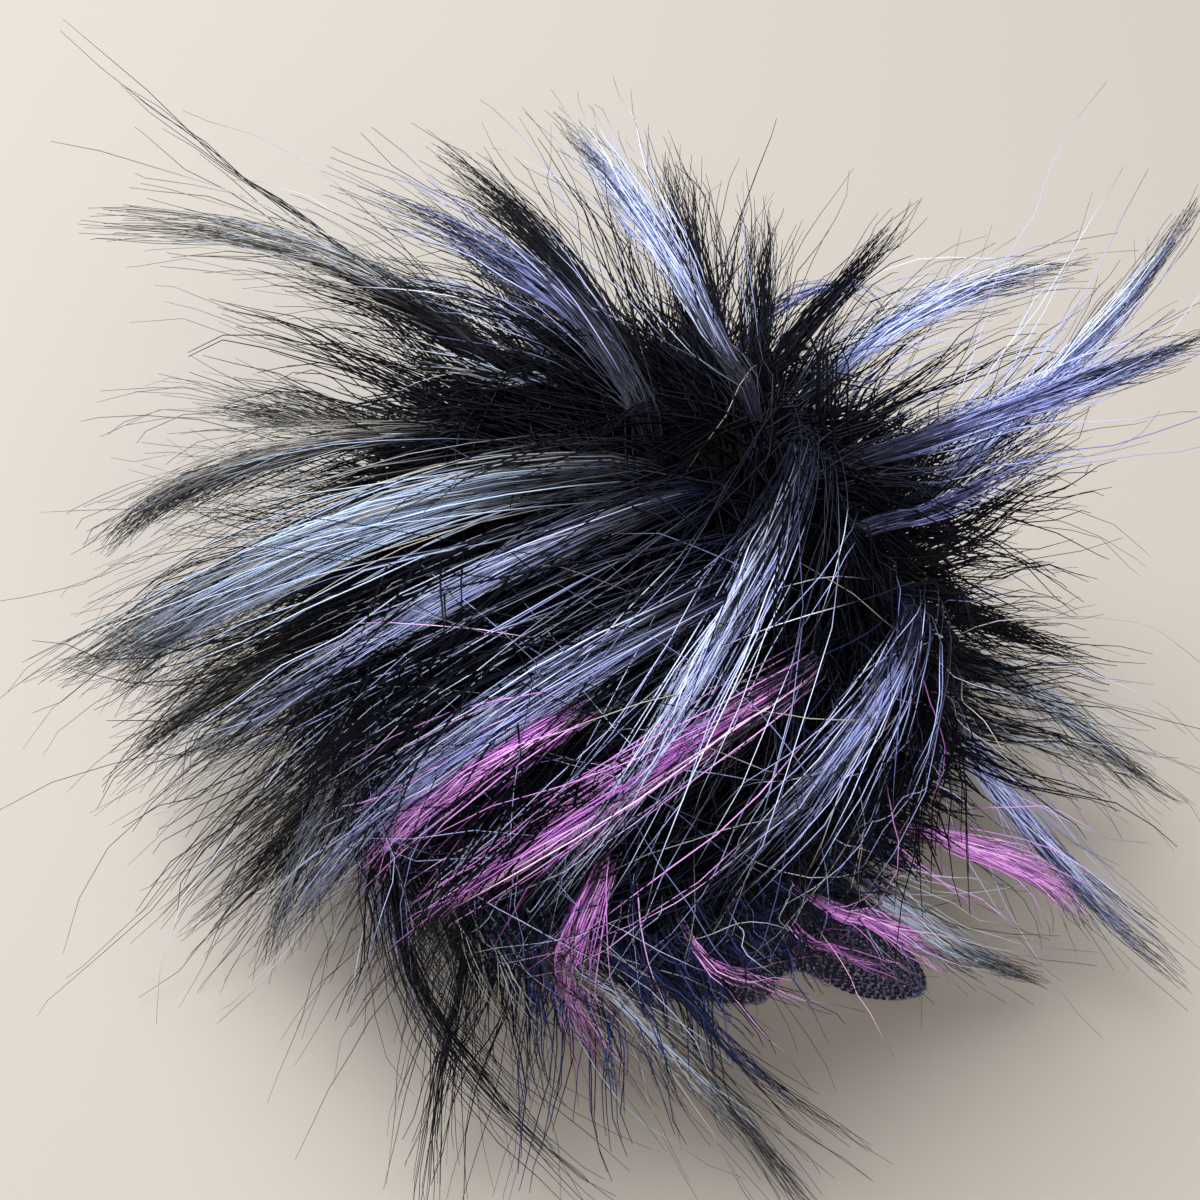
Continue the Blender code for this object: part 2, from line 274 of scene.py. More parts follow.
# Each row is a name, a colour and the columns. tint runs from 0, the colour's darkest, to 1, its
# lightest. It is partly the lock's own shade and partly painted light: higher for locks lit brightly,
# lower for locks in shade. bare is the share of the lock, from its root, that the dye leaves dark.
LOCKS = {
    "crown_left": ("lilac", 102, 86, 136, 50, 62, 45, -7, 23, 3.2, 0.5, 0.42),
    "crown_branch": ("silver", 123, 46, 123, 40, 56, 50, 9, 25, 3, 0.4, 0.21),
    "back_left": ("silver", 131, 48, 153, 71, 55, 65, 2, 26, 4.5, 0.5, 0.38),
    "left_upper": ("silver", 138, 32, 155, 58, 36, 25, 15, 5, 5, 0.5, 0.14),
    "left_high": ("silver", 143, 63, 171, 63, 26, 27, 56, -15, 6, 0.5, 0.24),
    "left_pale": ("silver", 28, 82, 185, 65, 22, 26, 45, -14, 7, 0.9, 0.22),
    "left_long": ("lilac", 18, 74, -163, 50, 21, 16, 59, -24, 5, 0.92, 0.3),
    "front_left": ("lilac", -16, 64, -140, 46, 11, 24, 69, 16, 6.5, 0.9, 0.27),
    "pink_left": ("magenta", -88, 59, -141, 36, 12, 20, 67, 13, 3.2, 0.8, 0.09),
    "front_pale": ("lilac", 39, 61, -103, 30, 38, 44, 41, -5, 5.6, 0.95, 0.4),
    "pink_front": ("magenta", -28, 52, -121, 34, 25, 19, 72, 22, 4.6, 0.8, 0.28),
    "front_right": ("lilac", -5, 45, -77, 29, 44, 55, 39, -13, 4, 0.72, 0.36),
    "back_middle": ("lilac", 45, 62, 105, 62, 54, 26, 22, -8, 4.5, 0.85, 0.3),
    "back_right": ("lilac", 55, 49, 45, 70, 50, 43, 3, -21, 4, 0.76, 0.16),
    "right_low": ("lilac", 31, 60, 32, 73, 52, 34, 15, 9, 4, 0.5, 0.24),
    "right_raised": ("lilac", 15, 38, 41, 75, 63, 44, -14, 11, 4.5, 0.76, 0.2),
    "right_black": ("black", 68, 48, 62, 59, 55, 57, -5, 0, 4, 0.3, 0.28),
    "top_dark_left": ("black", 122, 44, 141, 60, 50, 40, 10, 10, 8, 0.3, 0.14),
    "top_dark_middle": ("black", 100, 62, 119, 62, 53, 40, 5, 8, 8, 0.3, 0.14),
    "top_dark": ("black", 76, 60, 93, 56, 54, 45, 10, 0, 8, 0.3, 0.14),
    "top_dark_right": ("black", 64, 48, 79, 48, 55, 45, 10, 0, 7, 0.3, 0.14),
    "right_upper_dark": ("black", 6, 34, 7, 50, 33, 25, 15, -6, 6, 0.3, 0.14),
    "bottom_silver": ("silver", -108, 15, -61, 56, 2.1, 20, 10, -12, 4, 0.5, 0.1),
    "pink_bottom": ("magenta", -90, 35, -84, 39, 5, 15, 50, 29, 2.8, 0.7, 0.08),
    "pink_right": ("magenta", -59, 13, -25, 50, 4, 27, 37, -10, 2.2, 0.7, 0.04),
    "silver_right": ("silver", -48, 10, -22, 57, 4, 27, 28, 2, 4, 0.75, 0.11),
    "pink_far_right": ("magenta", -36, 8, -16, 58, 9, 28, 61, -10, 3, 0.65, 0.24),
    "lilac_right": ("lilac", -9, 23, -17, 71, 6, 18, 9, -13, 4.5, 0.66, 0.16),
    "dark_right": ("silver", 1, 14, 1, 71, 8, 49, 18, -25, 5, 0.6, 0.23),
    "dark_back": ("black", 88, 30, 84, 58, 22, 25, 25, 5, 9, 0.3, 0.14),
    "dark_back_left": ("black", 116, 24, 120, 60, 16, 20, 30, -5, 9, 0.3, 0.14),
    "dark_back_right": ("black", 52, 22, 47, 60, 20, 25, 25, -5, 9, 0.3, 0.14),
    "low_back_right": ("black", 28, 6, 26, 56, 2, 18, 20, 4, 8, 0.3, 0.14),
    "low_back": ("lilac", 70, 5, 68, 54, 2, 18, 20, -4, 5, 0.4, 0.14),
    "low_back_middle": ("black", 100, 5, 103, 56, 2, 18, 20, 5, 8, 0.3, 0.14),
    "low_back_left": ("silver", 138, 5, 142, 57, 2, 18, 20, -5, 6, 0.4, 0.14),
    "bottom_left": ("black", -138, 25, -81, 53, 1.7, 27, 15, 23, 1.7, 0.4, 0.1),
    "bottom_dark": ("black", -116, 8, -104, 60, 1.5, 8, 6, 14, 2, 0.3, 0.14),
    "low_left": ("silver", -153, 19, -143, 47, 4, 10, 65, 7, 4.5, 0.8, 0.13),
    "low_left_dark": ("black", -160, 12, -150, 56, 2, 12, 25, 0, 5, 0.3, 0.14),
    "left_middle": ("silver", 180, 23, 180, 62, 9, 36, 56, 24, 6, 0.42, 0.35),
    "left_lower": ("silver", -172, 20, -172, 60, 8, 11, 40, 21, 6, 0.42, 0.26),
}
# Thin extra locks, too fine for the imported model's solids.
WISPS = {
    "wisp_back": ("lilac", 120, 58, 146, 40, 57, 55, 15, 45, 3, 0.7, 0.14),
    "wisp_left": ("silver", 125, 62, 157, 35, 56, 40, 15, 10, 3, 0.8, 0.14),
    "loop": ("lilac", 76, 48, 60, 52, 42, 63, 58, -32, 3.5, 0.5, 0.35),
    "black_loop": ("black", 60, 45, 52, 42, 50, 50, 40, -30, 3, 0.3, 0.14),
    "pink_low": ("magenta", -83, 19, -42, 42, 6, 20, 30, -1, 2.4, 0.7, 0.09),
    "pink_edge": ("magenta", -63, 12, -31, 45, 6, 22, 56, 9, 2.2, 0.5, 0.08),
    "grey_right": ("silver", -10, 9, 3, 70, 6, 35, 43, -5, 4, 0.4, 0.35),
    "lilac_upper": ("lilac", -3, 62, 31, 56, 41, 16, 42, 10, 4.5, 0.35, 0.3),
    "lilac_bit": ("lilac", -15, 5, -5, 46, 24, 20, 20, 0, 3, 0.5, 0.14),
    "far_wisp": ("black", 134, 58, 141, 97, 57, 40, -8, 0, 1, 0.3, 0.14),
    "bottom_pale": ("lilac", -139, 22, -121, 40, 3, 27, 40, 10, 3.2, 0.8, 0.3),
    "front_navy": ("black", -92, 18, -52, 55, 2, 20, 25, 2, 4, 0.8, 0.14),
}


def columns(table):
    """A table of locks as one array for each column."""
    return {name: np.array([row[1 + i] for row in table.values()]) for i, name in enumerate(LOCK_COLUMNS)}


print(len(LOCKS), "locks and", len(WISPS), "wisps")

# %% [markdown]
# ## From a row of the table to a route
#
# A route is one smooth curve from root to tip. It starts along the ball's surface, turned up by rise
# and sideways by bow, and it arrives at the tip pointing down by dip. A point that would lie inside
# the ball is moved out of it, and one below the table is moved up. Everything works on whole arrays,
# because there will be thousands of routes.

# %% Routes
STEPS = 24  # points of a guide


def unit(vectors):
    return vectors / np.linalg.norm(vectors, axis=-1, keepdims=True)


def dot(a, b):
    return np.sum(a * b, axis=-1, keepdims=True)


def facing(angle, height):
    """Directions from the ball's middle, from angles in degrees."""
    turn, tilt = np.radians(angle), np.radians(height)
    return np.stack([np.cos(tilt) * np.cos(turn), np.cos(tilt) * np.sin(turn), np.sin(tilt)], -1)


def no_less(value, limit, soft):
    """value, kept above limit with a soft change."""
    apart = value - limit
    return limit + 0.5 * (apart + np.sqrt(apart**2 + soft**2))


def above_table(points):
    """Moves points up softly where they would lie under the table's top."""
    points[..., 2] = no_less(points[..., 2], LOW, SOFT_TABLE)
    return points


def tip_places(rows):
    """Where the locks' tips lie."""
    tips = facing(rows["tip_angle"], 0 * rows["tip_angle"]) * rows["tip_reach"][:, None]
    tips[:, 2] = rows["tip_height"]
    return tips


def routes(normals, tips, rise, dip, bow, clear):
    """Curves from the ball to their tips, and a side and an outward direction all along them."""
    rise, dip, bow = (np.radians(a)[:, None] for a in (rise, dip, bow))
    root = CENTRE + normals * (BALL_RADIUS - ROOT_DEPTH)
    chord = tips - root
    length = np.linalg.norm(chord, axis=-1, keepdims=True)
    along = unit(chord - normals * dot(chord, normals))
    side = np.cross(normals, along)
    across = along * np.cos(bow) - side * np.sin(bow)
    leaving = across * np.cos(rise) + normals * np.sin(rise)
    heading = np.arctan2(chord[:, 1:2], chord[:, 0:1]) + bow
    level = np.concatenate([np.cos(heading), np.sin(heading), 0 * heading], -1)
    arriving = level * np.cos(dip) - np.array((0.0, 0.0, 1.0)) * np.sin(dip)
    corners = (root, root + leaving * length * HANDLE, tips - arriving * length * HANDLE, tips)
    t = np.linspace(0, 1, STEPS)
    shares = ((1 - t) ** 3, 3 * (1 - t) ** 2 * t, 3 * (1 - t) * t**2, t**3)
    points = sum(share[None, :, None] * corner[:, None] for share, corner in zip(shares, corners))
    emerged = np.minimum(1, t / OUT_BY)
    emerged = (emerged**2 * (3 - 2 * emerged))[None]
    free = BALL_RADIUS - ROOT_DEPTH + (ROOT_DEPTH + clear[:, None]) * emerged
    out = points - CENTRE
    far = np.linalg.norm(out, axis=-1)
    points = above_table(CENTRE + out / far[..., None] * no_less(far, free, SOFT_BALL)[..., None])
    tangent = unit(np.gradient(points, axis=1))
    side = np.repeat(side[:, None], STEPS, 1)
    return points, side, unit(np.cross(tangent, side))


rows = columns(LOCKS | WISPS)
lock_normals = facing(rows["root_angle"], rows["root_height"])
lock_tips = tip_places(rows)
lock_clear = np.full(len(lock_tips), 1.2)  # off the ball
lock_routes, _, _ = routes(lock_normals, lock_tips, rows["rise"], rows["dip"], rows["bow"], lock_clear)
lengths = np.linalg.norm(np.diff(lock_routes, axis=1), axis=-1).sum(1)
print("the locks are", lengths.min().round(), "to", lengths.max().round(), "mm long")

# %% [markdown]
# ## Guides
#
# A guide is the middle line of a small tuft of strands. Each lock is parted into some two dozen guides,
# close together at the root, wider apart in its body and drawn together again at its tip. A few of
# them are loose and stray, and single flyaways leave the lock.

# %% Guides for locks
PLACES = (0.0, 0.2, 0.5, 0.8, 1.0)  # along a lock
LOCK_FORM = (0.5, 0.9, 1.0, 0.7, 0.25)  # its width there, over its full width
HALF_WIDTH = 0.17  # the guides' spread to either side, over the lock's width
THICKNESS = 0.5  # a lock's thickness over its width
ROOT_PATCH = 0.8  # the roots' spread on the ball, in mm, for a lock 8 mm wide
PATCH_WIDTH, FULL_WIDTH = 8, 7  # a lock this wide has its patch, and its strands, at full size
WAVES = (0.8, 2.4)  # waves along a guide
WAVE_SIZE = 0.3  # a guide's way off its route by waves, at its tip
SHORTER_BY, LOOSE_SHORTER_BY = (-2, 5), (0, 18)
LOOSE_ASIDE, LOOSE_UP = 7, 5  # a loose guide's tip lies about this far off the lock's
# How much guides differ in degrees, combed and loose, and which of a guide's six whims turns it.
DIFFER = {"rise": (0.7, 5, 4), "dip": (2, 12, 5), "bow": (0.7, 14, 1)}
TINT_DIFFERS, BARE_DIFFERS = 0.14, 0.05
HAIRS_DIFFER = (0.7, 1.3)
BARE_SPAN = (0.05, 0.6)  # the least and the most that the dye leaves dark
LOOSE_BARE = 0.14  # how much more of a loose guide it leaves dark
# The strands' way off their guide: places along it, the way to either side, and the way up and down.
FORM_PLACES, SPREAD, DEPTH = (0, 0.3, 0.7, 1), (0.3, 0.4, 0.42, 0.36), (0.3, 0.4, 0.45, 0.4)


def guide_set(points, side, out, tint, bare, hairs, spread, depth):
    """A bundle of guides with all that the strands need to know of them."""
    made = {"points": points, "side": side, "out": out, "tint": np.clip(tint, 0, 1), "bare": bare}
    return made | {"hairs": hairs, "spread": spread, "depth": depth}


def joined(*sets):
    return {name: np.concatenate([s[name] for s in sets]) for name in sets[0]}


def profile(places, sizes):
    """A size at every step of a guide, from its sizes at a few places."""
    return np.interp(np.linspace(0, 1, STEPS), places, sizes)


def waves(points, side, out, rng):
    """A slow wave for each guide, growing from nothing at its root."""
    t = np.linspace(0, 1, STEPS)
    turns = rng.uniform(*WAVES, (2, len(points), 1))
    start = rng.uniform(0, 2 * np.pi, (2, len(points), 1))
    across, up = WAVE_SIZE * t * (np.sin(2 * np.pi * turns * t + start) - np.sin(start))
    return side * across[..., None] + out * (0.6 * up)[..., None]


def part_locks(table, colour, rng, tufts, hairs, loose, clear, patch=ROOT_PATCH):
    """Guides for every lock of one colour. loose runs from 0, combed, to 1, flying about."""
    chosen = {name: row for name, row in table.items() if row[0] == colour}
    rows = {name: np.repeat(values, tufts) for name, values in columns(chosen).items()}
    count = len(rows["tint"])
    turn = rng.uniform(0, 2 * np.pi, count)
    far = np.sqrt(rng.random(count))
    a, b = far * np.cos(turn), far * np.sin(turn)
    whims = loose * rng.standard_normal((6, count))
    normals = facing(rows["root_angle"], rows["root_height"])
    tips = tip_places(rows)
    chord = tips - CENTRE - normals * BALL_RADIUS
    along = unit(chord - normals * dot(chord, normals))
    side = np.cross(normals, along)
    spot = (patch * rows["width"] / PATCH_WIDTH / BALL_RADIUS)[:, None]
    normals = unit(normals + spot * (side * (a + whims[0])[:, None] + along * (b + whims[1])[:, None]))
    lift = unit(np.cross(chord, side))
    shorter = rng.uniform(*SHORTER_BY, count) + loose * rng.uniform(*LOOSE_SHORTER_BY, count)
    tips = tips - unit(chord) * shorter[:, None]
    tips = tips + side * (LOOSE_ASIDE * whims[2])[:, None] + lift * (LOOSE_UP * whims[3])[:, None]
    tips[:, 2] = np.maximum(tips[:, 2], LOW)
    turned = [
        rows[angle] + combed * rng.standard_normal(count) + flying * whims[whim]
        for angle, (combed, flying, whim) in DIFFER.items()
    ]
    points, side, out = routes(normals, tips, *turned, clear + 0.5 * b + 0.8 * np.abs(whims[4]))
    points = points + waves(points, side, out, rng)
    form = profile(PLACES, LOCK_FORM)[None, :, None] * (rows["width"] * HALF_WIDTH)[:, None, None]
    points = above_table(points + side * form * a[:, None, None] + out * form * THICKNESS * b[:, None, None])
    slim = (rows["width"] / FULL_WIDTH)[:, None]
    tint = rows["tint"] + TINT_DIFFERS * rng.standard_normal(count)
    bare = rows["bare"] + LOOSE_BARE * loose + BARE_DIFFERS * rng.standard_normal(count)
    hairs = np.maximum(1, (hairs * slim[:, 0] ** 0.7 * rng.uniform(*HAIRS_DIFFER, count)).astype(int))
    spread, depth = (profile(FORM_PLACES, sizes) * slim for sizes in (SPREAD, DEPTH))
    return guide_set(points, side, out, tint, np.clip(bare, *BARE_SPAN), hairs, spread, depth)


rng = np.random.default_rng(11)
lock_guides, loose_guides = {}, {}
for colour in ("lilac", "silver", "magenta", "black"):
    combed, few = (5 if colour == "black" else 10), (3 if colour == "magenta" else 16)
    lock_guides[colour] = joined(
        part_locks(LOCKS, colour, rng, tufts=16, hairs=combed, loose=0.05, clear=1.9),
        part_locks(LOCKS, colour, rng, tufts=5, hairs=4, loose=0.22, clear=1.7, patch=1.8),
        part_locks(LOCKS, colour, rng, tufts=7, hairs=2, loose=0.5, clear=2.2),
        part_locks(WISPS, colour, rng, tufts=6, hairs=7, loose=0.08, clear=2.2),
    )
    loose_guides[colour] = part_locks(LOCKS, colour, rng, few, hairs=1, loose=1.0, clear=2.4, patch=2.0)
    for kind, guides in (("locks", lock_guides[colour]), ("flyaways", loose_guides[colour])):
        print(colour, kind, len(guides["hairs"]), "guides,", guides["hairs"].sum(), "strands")

# %% [markdown]
# ## The black pile
#
# Between the locks the whole cloth carries shorter black pile. It is planted as tufts, evenly spread
# over the ball in a sunflower's order, and combed the way the locks near each tuft lie, as a brush
# would leave it. Low on the front it has a navy cast, and it is short over the gathered edge, where the
# cloth is drawn together and its pile is trapped. A finer fringe flies out of it at random.

# %% Guides for the black pile
GOLDEN_TURN = math.pi * (3 - math.sqrt(5))
TUFTS_ON_BALL, FRINGE_TUFTS = 560, 220
LOWEST_TUFT = -35.0  # degrees: under this the ball is bare
FLOW_SPREAD = 15.0  # degrees over which a tuft feels the locks near it
FLOW_FROM = 6  # the step of a lock's route from which it counts as near
FLOW_REACH = 1.1  # the tufts' reach over that of the locks from there
FLOW_DIFFERS = (0.82, 1.08)
FLATTER = 0.85  # a tuft rises this much as steeply as the locks near it
TUFT_RISE, TUFT_TURN = 5, 8  # degrees by which tufts differ in their rise, and in their dip and bow
TUFT_WAVES = 3  # a tuft's waves over those of a lock's guide
TUFT_SPREAD, TUFT_DEPTH = (2.4, 1.8, 1.1), (2.2, 1.1, 0.9)  # at root, middle and tip
SILVER_SHARE = 0.75  # of the tufts low on the left
NAVY = 0.9  # how much brighter the black pile's tint is low on the front
SHORTER = 0.62  # how much shorter the pile is over the gathered edge
SHORTEST = 0.6  # and how much more over the tip of its lobe
# Low parts of the ball, in degrees: the middle, the half width, the top, and over how much it fades out.
NAVY_PART = (-80, 50, 50, 40)
LOBE_PART = (-92, 55, 45, 30)
TIP_PART = (-42, 20, 50, 25)
# Where no tufts are planted: from one angle to another, up to a height.
OVER_EDGE, OVER_EDGE_TOP, OVER_TIP_TOP = (-76, 0), 8, 26
UNDER_HEM, UNDER_HEM_TOP = (-150, -70), -14


def sunflower(count, lowest):
    """Evenly spread directions, all above a lowest height."""
    index = np.arange(count) + 0.5
    up = 1 - 2 * index / count
    round_up = np.sqrt(1 - up**2)
    turn = index * GOLDEN_TURN
    made = np.stack([round_up * np.cos(turn), round_up * np.sin(turn), up], -1)
    return made[up > math.sin(math.radians(lowest))]


def comb(normals, rng, length=1.0, lift=1.0, wild=10.0):
    """Tips for tufts that go the way the locks near them go, and how they rise, dip and bow."""
    start = lock_routes[:, FLOW_FROM]
    near = unit(start - CENTRE)
    chord = lock_tips - start
    up = dot(chord, near)
    flat = chord - near * up
    apart = np.degrees(np.arccos(np.clip(normals @ near.T, -1, 1)))
    weight = np.exp(-((apart / FLOW_SPREAD) ** 2)) + 1e-9
    weight /= weight.sum(1, keepdims=True)
    flow = weight @ unit(flat)
    flow = unit(flow - normals * dot(flow, normals))
    turn = np.radians(wild * rng.standard_normal(len(normals)))[:, None]
    flow = flow * np.cos(turn) + np.cross(normals, flow) * np.sin(turn)
    reach = weight @ np.linalg.norm(flat, axis=-1) * rng.uniform(*FLOW_DIFFERS, len(normals))
    reach = reach * length * FLOW_REACH * (1 - SHORTER * low_part(normals, *LOBE_PART))
    reach = reach * (1 - SHORTEST * low_part(normals, *TIP_PART))
    tips = CENTRE + normals * (BALL_RADIUS + lift * (weight @ up)) + flow * reach[:, None]
    tips[:, 2] = np.maximum(tips[:, 2], LOW)
    return tips, weight @ rows["rise"], weight @ rows["dip"], weight @ rows["bow"]


def grow_tufts(normals, rng, hairs, clear, length=1.0, lift=1.0, wild=10.0, fan=1.0, tint=0.12, bare=0.15):
    """Guides for tufts that start at these directions from the ball's middle."""
    tips, rise, dip, bow = comb(normals, rng, length, lift, wild)
    count = len(normals)
    rise = rise * FLATTER + TUFT_RISE * rng.standard_normal(count)
    dip = dip + TUFT_TURN * rng.standard_normal(count)
    bow = bow + TUFT_TURN * rng.standard_normal(count)
    points, side, out = routes(normals, tips, rise, dip, bow, np.full(count, clear))
    points = above_table(points + TUFT_WAVES * waves(points, side, out, rng))
    tint = tint + 0.12 * rng.standard_normal(count) + NAVY * low_part(normals, *NAVY_PART)
    spread, depth = (
        np.tile(profile((0, 0.5, 1), (root, middle, tip * fan)), (count, 1))
        for root, middle, tip in (TUFT_SPREAD, TUFT_DEPTH)
    )
    return guide_set(points, side, out, tint, np.full(count, bare), np.full(count, hairs), spread, depth)


def angles_of(normals):
    """Each direction's angle round the ball and its height on it, in degrees."""
    return np.degrees(np.arctan2(normals[:, 1], normals[:, 0])), np.degrees(np.arcsin(normals[:, 2]))


def low_part(normals, middle, half, top, fade):
    """1 in a low part of the ball, else 0, with a soft change."""
    turn, tilt = angles_of(normals)
    return np.exp(-(((turn - middle) / half) ** 2)) * np.clip((top - tilt) / fade, 0, 1)


def planted(count):
    """Evenly spread places for tufts. None lies low over the lobe of the gathered edge, where the pile
    is thin, nor so low at the bottom of the front that the table would hold it up."""
    normals = sunflower(count, LOWEST_TUFT)
    turn, tilt = angles_of(normals)
    middle, half = TIP_PART[:2]
    bump = np.exp(-(((turn - middle) / half) ** 2))
    over_edge = (turn > OVER_EDGE[0]) & (turn < OVER_EDGE[1])
    over_edge &= tilt < OVER_EDGE_TOP + (OVER_TIP_TOP - OVER_EDGE_TOP) * bump
    under_hem = (turn > UNDER_HEM[0]) & (turn < UNDER_HEM[1]) & (tilt < UNDER_HEM_TOP)
    return normals[~over_edge & ~under_hem]


rng = np.random.default_rng(23)
scalp = planted(TUFTS_ON_BALL)
pile = grow_tufts(scalp, rng, hairs=8, clear=0.6)
fringe = grow_tufts(planted(FRINGE_TUFTS), rng, 4, clear=2.0, length=1.12, lift=1.1, wild=24, fan=2)
print("black pile:", len(scalp), "tufts,", pile["hairs"].sum(), "strands")
print("fringe:", fringe["hairs"].sum(), "strands")

# %% [markdown]
# ## Loose hairs
#
# Handling pulls single hairs out of the locks. They cross the front at all angles and are what makes
# the fur look used. Each is a guide of its own, in the colours of the locks.

# %% Guides for loose hairs over the front
LOOSE_HAIRS = 340
LOOSE_ANGLES, LOOSE_HEIGHTS = (-165, 0), (22, 66)  # where they start on the ball, in degrees
COLOUR_SHARES = {"lilac": 0.45, "silver": 0.25, "magenta": 0.04, "black": 0.26}


def pick(guides, chosen):
    return {name: values[chosen] for name, values in guides.items()}


starts = facing(rng.uniform(*LOOSE_ANGLES, LOOSE_HAIRS), rng.uniform(*LOOSE_HEIGHTS, LOOSE_HAIRS))
colours = rng.choice(list(COLOUR_SHARES), LOOSE_HAIRS, p=list(COLOUR_SHARES.values()))
hairs = grow_tufts(starts, rng, 1, clear=2.0, length=0.65, lift=1.3, wild=40, tint=0.5, bare=0.3)
for colour in loose_guides:
    loose_guides[colour] = joined(loose_guides[colour], pick(hairs, colours == colour))
    print(colour, "hairs over the front:", (colours == colour).sum())

# %% [markdown]
# ## Strands, by Geometry Nodes
#
# One tree turns any set of guides into strands. It copies each guide many times, trims every copy to
# its own length, moves it off the guide by its own random amounts, adds a little frizz and keeps it
# above the table. Then it sweeps a three-sided profile along it, thinner towards the tip, and stores
# the UV map that the fibre materials read. Three sides are enough: at this thickness smooth shading
# makes them look round, and all the strands together have to fit in a million triangles.

# %% The strands' tree
TREE_INPUTS = {
    "Guides": "Geometry",
    "Thickness": "Float",
    "Shortest": "Float",
    "Longest": "Float",
    "Stray": "Float",
    "Frizz": "Float",
    "Frizz Size": "Float",
    "Seed": "Int",
    "Fibre": "Material",
}
BELL = 0.58  # three random numbers times this add up to a bell curve about 0
LOWEST_STRAND = 0.15 * MM
LATE_STRAY, LATE_FRIZZ = 2.0, 0.7  # the higher, the closer to the tip a strand strays and frizzes
FEW_STRAY = 4.0  # the higher, the fewer strands stray far
TINT_SPREAD = 0.2  # how much a lock's strands differ in tint
FEW_DARK = 4.0  # the higher, the fewer strands are much darker than their lock
DARKER = 0.8
FIBRE_TAPER = 0.62  # how much thinner a strand's tip is than its root
LATE_TAPER = 3.0  # the higher, the closer to the tip it thins


def new_tree(name, inputs, output):
    """A Geometry Nodes tree with these inputs and one output of geometry, and its inputs' sockets."""
    tree = bpy.data.node_groups.new(name, "GeometryNodeTree")
    for socket, kind in inputs.items():
        tree.interface.new_socket(socket, in_out="INPUT", socket_type="NodeSocket" + kind)
    tree.interface.new_socket(output, in_out="OUTPUT", socket_type="NodeSocketGeometry")
    return tree, tree.nodes.new("NodeGroupInput").outputs


